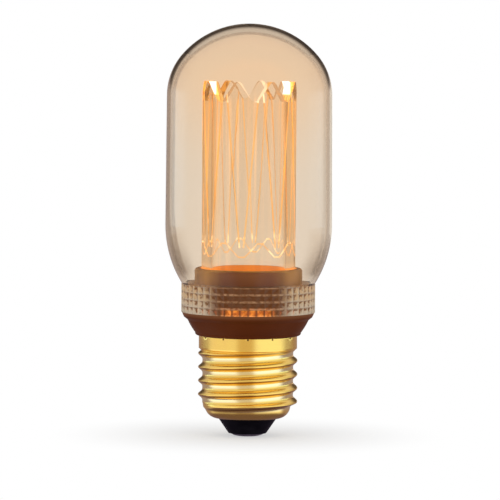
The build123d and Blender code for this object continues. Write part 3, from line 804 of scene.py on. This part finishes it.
amber_glass = Finish(
    "amber_glass",
    Roughness=0.0,
    IOR=1.47,
    Transmission_Weight=1.0,
    Specular_Tint=(0.5, 0.45, 0.4),
)
waves = amber_glass.place.noise(scale=28.0, detail=1.0, stretch=(1.0, 1.0, 0.4))
height = amber_glass.place.part("Z")
up = height.between(*tint_climb)
dome = height.between(*dome_rise)
low = height.fading(*low_part_top)
foot = height.between(*foot_rise)
left = amber_glass.place.part("X").fading(*left_to_right)
edge_on = amber_glass.edge_on()
# Painted shade and highlight: dark lines and a pale line in the tint where the wall is seen edge
# on, and the dark one is heavier on the left below the dome.
lean = edge_on + 0.09 * low - 0.055 * dome
eased_edge = (1.0 - dome) * (0.4 + 0.4 * (1.0 - left)) * lean.between(0.80, 0.88)
flank = lean.between(0.67, 0.72) * (1.0 - eased_edge)
edge_shade = flank * foot * (0.9 * dome + (1.0 - dome) * (0.18 + 0.60 * left))
waist = edge_on.between(0.30, 0.58) * height.fading(*waist_top) * foot
grey = edge_on.between(0.08, 0.30) * (1.0 - 0.8 * edge_on.between(0.40, 0.58))
fold = edge_on.within(0.60, 0.68, 0.72, 0.80) * foot * height.fading(*fold_top)
tint = up.mixed(lower_tint, upper_tint)
tint = (0.6 * grey * (1.0 - 0.6 * up)).mixed(tint, grey_tint)
tint = ((1.0 - left) * (1.0 - dome) * lean.between(0.70, 0.78)).mixed(tint, pale_edge)
tint = waist.mixed(tint, waist_shade)
tint = fold.mixed(tint, fold_shade)
amber_glass.vary(
    Base_Color=edge_shade.mixed(tint, wall_shade),
    Normal=waves.bump(strength=0.05, distance=0.4 * MM),
)
amber_glass.on(nodes["glass_envelope"])

# Backdrop: white all round for the camera and for what is seen straight through the glass.
# What reflects or bends sees a plain room, with pale panels to the sides of a darker middle,
# so that the gold and the edges of the glass keep their shape.
sweep_white = (1.0, 1.0, 1.0)
room_grey = (0.62, 0.62, 0.62)
room_back = (0.37, 0.29, 0.28)
room_front = (0.70, 0.61, 0.47)
room_ceiling = (0.86, 0.86, 0.82)
room_table = (0.17, 0.125, 0.18)
room_rear = (0.08, 0.065, 0.055)
panel_left = (0.95, 0.97, 0.97)
panel_right = (1.10, 1.26, 1.36)
panel_low = (1.28, 1.32, 1.36)
strip_white = (1.4, 1.9, 2.2)
graze_white = (1.15, 1.05, 0.92)
bent_tan = (0.66, 0.575, 0.48)
bent_dark = (0.10, 0.08, 0.065)
room_turn = 0.08


def backdrop_colour(tree, way, strip):
    """The colour met along a way out, with the strips at its sides at a given strength."""
    path = tree.nodes.new("ShaderNodeLightPath")

    def ray(kind):
        return Shade(tree, path.outputs[kind])

    across = way.part("X")
    back = way.part("Y")
    up = way.part("Z")
    down = 0.0 - up
    front = (0.0 - back - room_turn * across) / way.from_axis()
    panel = front.within(-0.30, 0.12, 0.90, 0.99)
    panel_colour = across.between(0.0, 0.5).mixed(panel_left, panel_right)
    panel_colour = down.between(0.06, 0.30).mixed(panel_colour, panel_low)
    side = front.within(-0.80, -0.48, -0.20, 0.15)
    side = side * (1.0 - 0.65 * up.between(-0.01, 0.14) - 0.35 * up.between(0.2, 0.5))
    side = side * (1.0 - 0.7 * down.between(0.03, 0.09))
    graze = back.between(0.80, 0.93) * across.between(0.0, 0.12) * up.fading(-0.01, 0.05)
    rear = back.between(0.75, 0.9) * up.between(0.02, 0.10)
    shine = front.between(0.0, 0.5).mixed(room_back, room_front)
    shine = panel.mixed(shine, panel_colour)
    shine = up.between(0.25, 0.6).mixed(shine, room_ceiling)
    shine = down.between(0.52, 0.72).mixed(shine, room_table)
    shine = (side * strip).mixed(shine, strip_white)
    shine = (graze * strip).mixed(shine, graze_white)
    shine = rear.mixed(shine, room_rear)
    room = ray("Is Glossy Ray").mixed(room_grey, shine)
    bent = ray("Is Transmission Ray") * (ray("Glossy Depth") > 0.5)
    rim = up.within(-0.02, 0.08, 0.22, 0.46) * back.between(0.84, 0.96)
    room = bent.mixed(room, rim.mixed(bent_tan, bent_dark))
    straight = ray("Is Transmission Ray") * (ray("Glossy Depth") < 0.5)
    seen = straight.math("MAXIMUM", ray("Is Camera Ray"), straight)
    return seen.mixed(room, sweep_white)


world = bpy.data.worlds.new("studio")
world.use_nodes = True
bpy.context.scene.world = world
tree = world.node_tree
sky = Shade(tree, tree.nodes.new("ShaderNodeTexCoord").outputs["Generated"])
sky_colour = backdrop_colour(tree, sky, strip=1.0)
tree.links.new(sky_colour.socket, tree.nodes["Background"].inputs["Color"])

# Floor: a wide pale sheet that the bulb stands on by its contact.
# It takes the bulb's soft shadow near the tip and runs out into the white of the backdrop.
floor_radius = 0.6
floor_fade_radius = 0.38
shadow_core = 4.0 * MM
shadow_reach = 55.0 * MM
shadow_depth = 0.5
floor_strip = 0.3
paper_white = (0.95, 0.95, 0.95)
cap_middle = (0.0, 0.0, 15.0 * MM)
floor_form = bmesh.new()
bmesh.ops.create_circle(floor_form, cap_ends=True, segments=96, radius=floor_radius)
floor_mesh = bpy.data.meshes.new("floor")
floor_form.to_mesh(floor_mesh)
floor_form.free()
floor = bpy.data.objects.new("floor", floor_mesh)
bpy.context.scene.collection.objects.link(floor)
floor_paper = Finish("floor_paper", Base_Color=paper_white, Roughness=0.9)
tree = floor_paper.material.node_tree
reach = floor_paper.place.from_axis()
away = reach.between(shadow_core, shadow_reach)
far = reach.between(floor_fade_radius, floor_radius)
level = floor_paper.place.vector("SUBTRACT", cap_middle).vector("NORMALIZE")
floor_colour = backdrop_colour(tree, level, strip=floor_strip * far)
backdrop = away.node("ShaderNodeEmission", None, {"Color": floor_colour, "Strength": 1.0})
paper = Shade(tree, floor_paper.shader.outputs["BSDF"])
seen = Shade(tree, tree.nodes.new("ShaderNodeLightPath").outputs["Is Camera Ray"])
share = 1.0 - seen * (1.0 - away) * shadow_depth
blend = away.node("ShaderNodeMixShader", None, {0: share, 1: paper, 2: backdrop})
tree.links.new(blend.socket, tree.nodes["Material Output"].inputs["Surface"])
floor_paper.on(floor)

# Lamps: two tall white soft boxes in front, to the left and right.
# They light the plastic and the floor; what reflects or bends sees the backdrop in their place.
box_width = 0.34
box_height = 0.50
box_y = -0.30
box_z = 0.08
box_radiance = 1.3
box_target = Vector((0.0, 0.0, 0.05))
for box_name, box_x in (("box_left", -0.36), ("box_right", 0.36)):
    lamp = bpy.data.lights.new(box_name, "AREA")
    lamp.shape = "RECTANGLE"
    lamp.size = box_width
    lamp.size_y = box_height
    lamp.energy = box_radiance * math.pi * box_width * box_height
    box = bpy.data.objects.new(box_name, lamp)
    box.location = (box_x, box_y, box_z)
    box.rotation_euler = (box_target - box.location).to_track_quat("-Z", "Y").to_euler()
    box.visible_camera = False
    box.visible_glossy = False
    box.visible_transmission = False
    bpy.context.scene.collection.objects.link(box)

# Camera: a long lens a little above the bulb's middle, as far off as a catalogue picture is taken.
# It leans by less than half a degree, as the photograph does.
metres_per_pixel = 0.2652 * MM
image_width = 500
camera_distance = 1.3
camera_rise = math.radians(3.7)
camera_roll = math.radians(0.4)
aim = Vector((0.38 * MM, 0.0, 49.4 * MM))
lens = bpy.data.cameras.new("camera")
lens.sensor_width = 36.0
lens.lens = lens.sensor_width * camera_distance / (metres_per_pixel * image_width)
lens.clip_start = 0.05
lens.clip_end = 20.0
camera = bpy.data.objects.new("camera", lens)
back = Vector((0.0, -math.cos(camera_rise), math.sin(camera_rise)))
camera.location = aim + back * camera_distance
turn = (-back).to_track_quat("-Z", "Y").to_matrix() @ Matrix.Rotation(camera_roll, 3, "Z")
camera.rotation_euler = turn.to_euler()
bpy.context.scene.collection.objects.link(camera)
bpy.context.scene.camera = camera
bpy.context.scene.view_settings.view_transform = "Standard"
